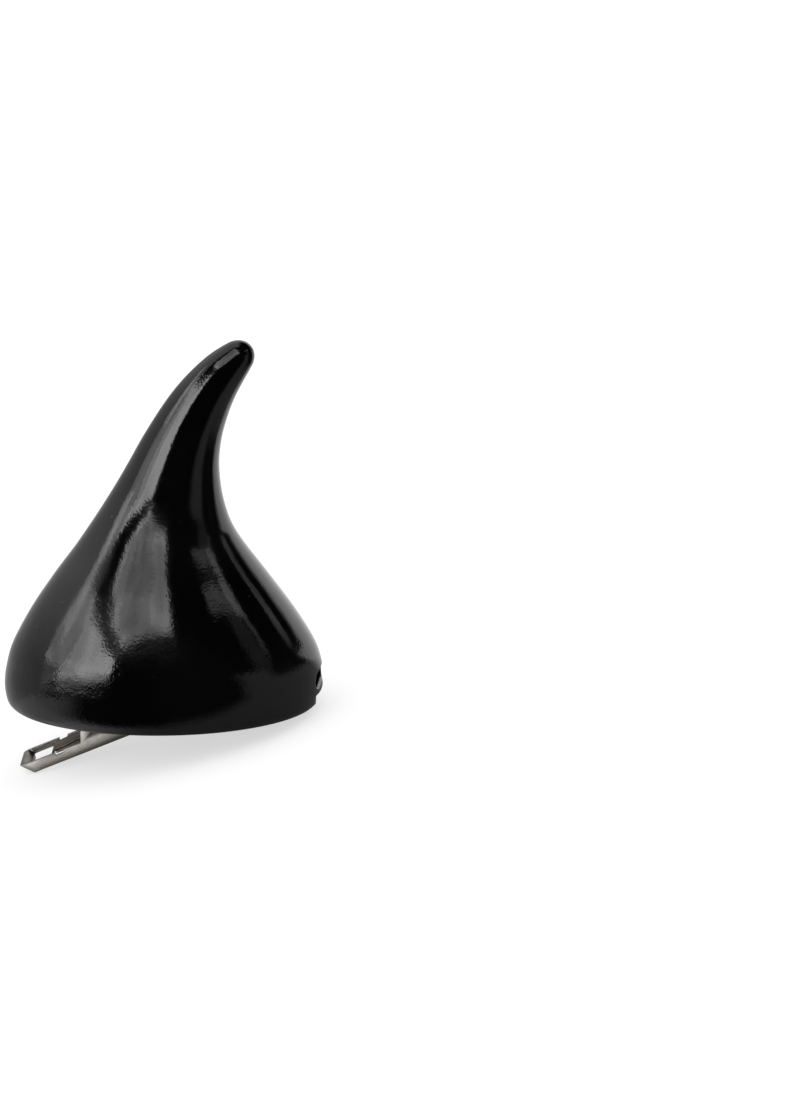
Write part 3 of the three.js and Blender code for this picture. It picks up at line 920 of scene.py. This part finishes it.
# %% Softboxes
PANEL_DISTANCE = 1.0
PANEL_STEP = 0.05
CLOTH_SCALE = 9.0
CLOTH_SHARE = 0.3
CLOTH_LEVELS = (0.35, 0.65)
BLACK = (0, 0, 0, 1)
PANEL_AIM = stand @ Vector((0, 0, 20 * MM))
PANEL_TABLE = (
    ("key", 4.5, (
        (-70, 31), (-62, 27.5), (-49, 24), (-40, 20.5), (-29, 17), (-30, 9), (-43, 3), (-67, 3),
        (-65, 10), (-62, 20), (-64, 25),
    )),
    ("key foot", 3.2, ((-67, 3), (-43, 3), (-30, 9), (-30, 5), (-43, -1), (-66, -1))),
    ("key skirt", 2.0, ((-66, -1), (-43, -1), (-30, 5), (-30, 0), (-43, -4.5), (-66, -5))),
    ("key hem", 1.0, ((-66, -5), (-43, -4.5), (-30, 0), (-30, -4), (-43, -8), (-65, -9))),
    ("key flank", 2.2, ((-90, 33), (-70, 31), (-64, 25), (-62, 20), (-65, 10), (-68, 8), (-86, 13))),
    ("key tongue", 3.8, ((-94, 35), (-88, 37), (-75, 26), (-74, 19), (-79, 20), (-86, 28))),
    ("key border", 0.75, ((-84, 12), (-68, 8), (-65, 10), (-67, 3), (-66, -7), (-80, -7))),
    ("top", 2.0, (
        (-51, 41), (-43, 34), (-31, 26), (-22, 21), (8, 24), (10, 34), (7, 42), (4, 50), (-40, 58),
    )),
    ("top edge", 4.2, (
        (-56, 40), (-47, 32), (-35, 25), (-26, 20), (-22, 21), (-31, 26), (-43, 34), (-51, 41),
    )),
    ("top lamp", 3.1, ((-9, 27), (6, 27), (9, 36), (-8, 37))),
    ("side strip", 0.7, ((44, 32.5), (69, 31.5), (69, 36), (44, 36.5))),
    ("side lamp", 1.3, ((69, 31), (77, 30), (80, 36), (69, 36))),
    ("side edge", 0.5, ((75, 20), (79, 20), (78, 30), (74, 30))),
    ("side glow", 0.13, ((58, 2), (75, 2), (75, 20), (69, 31), (58, 31))),
    ("rear strip", 0.45, ((104, 17), (112, 15), (115, 28), (106, 31))),
)


def direction(azimuth, elevation):
    a, e = math.radians(azimuth), math.radians(elevation)
    return turn.to_3x3() @ Vector((math.sin(a) * math.cos(e), -math.cos(a) * math.cos(e), math.sin(e)))


def panel(name, brightness, corners):
    """Brighter panels stand a little nearer, so that they cover dimmer ones."""
    mesh = bpy.data.meshes.new(name)
    distance = PANEL_DISTANCE - PANEL_STEP * brightness
    points = [PANEL_AIM + distance * direction(*corner) for corner in corners]
    mesh.from_pydata(points, [], [range(len(points))])
    material, tree, shader = new_material(name)
    cloth = noise(tree, CLOTH_SCALE, 2.0, Vector=own_place(tree))
    dim, bright = brightness * (1 - CLOTH_SHARE), brightness * (1 + CLOTH_SHARE)
    tree.links.new(rise(tree, cloth, *CLOTH_LEVELS, dim, bright), shader.inputs["Emission Strength"])
    shader.inputs["Base Color"].default_value = BLACK
    shader.inputs["Emission Color"].default_value = WHITE
    mesh.materials.append(material)
    made = link_mesh(name, mesh)
    made.visible_camera = False
    made.visible_diffuse = False
    return made


panels = [panel(*row) for row in PANEL_TABLE]
print("panels:", [made.name for made in panels])

# %% [markdown]
# The room is the world's background. It gives an even pale light to everything, and only mirror rays
# see what is in it: darkness behind the camera, and pale walls to the left and behind on the right.

# %% Room
ROOM_LIGHT = 1.12
LEFT_WALL_FROM = (-0.4, -0.15)
LEFT_WALL_HEIGHT = (0.1, 0.6, 0.44, 1.0)
RIGHT_WALL = (0.56, 0.7, 0.0, 1.1)
WALLS_MEET = (-0.15, 0.15)


def pale_room():
    world = bpy.data.worlds.new("room")
    bpy.context.scene.world = world
    world.use_nodes = True
    world.cycles.sampling_method = "NONE"
    tree = world.node_tree
    look = {"Vector": add(tree, "ShaderNodeTexCoord").outputs["Generated"], "Angle": -LEAN}
    upright = add(tree, "ShaderNodeVectorRotate", look, rotation_type="Y_AXIS").outputs[0]
    x, y, z = split(tree, upright)
    left = calc(tree, "MULTIPLY", rise(tree, y, *LEFT_WALL_FROM), rise(tree, z, *LEFT_WALL_HEIGHT))
    walls = rise(tree, x, *WALLS_MEET, left, rise(tree, y, *RIGHT_WALL))
    mirrored = add(tree, "ShaderNodeLightPath").outputs["Is Glossy Ray"]
    background = tree.nodes["Background"]
    tree.links.new(mixed(tree, mirrored, ROOM_LIGHT, walls), background.inputs["Strength"])
    background.inputs["Color"].default_value = WHITE


pale_room()
bpy.context.scene.view_settings.view_transform = "Standard"
print("world:", bpy.context.scene.world.name)
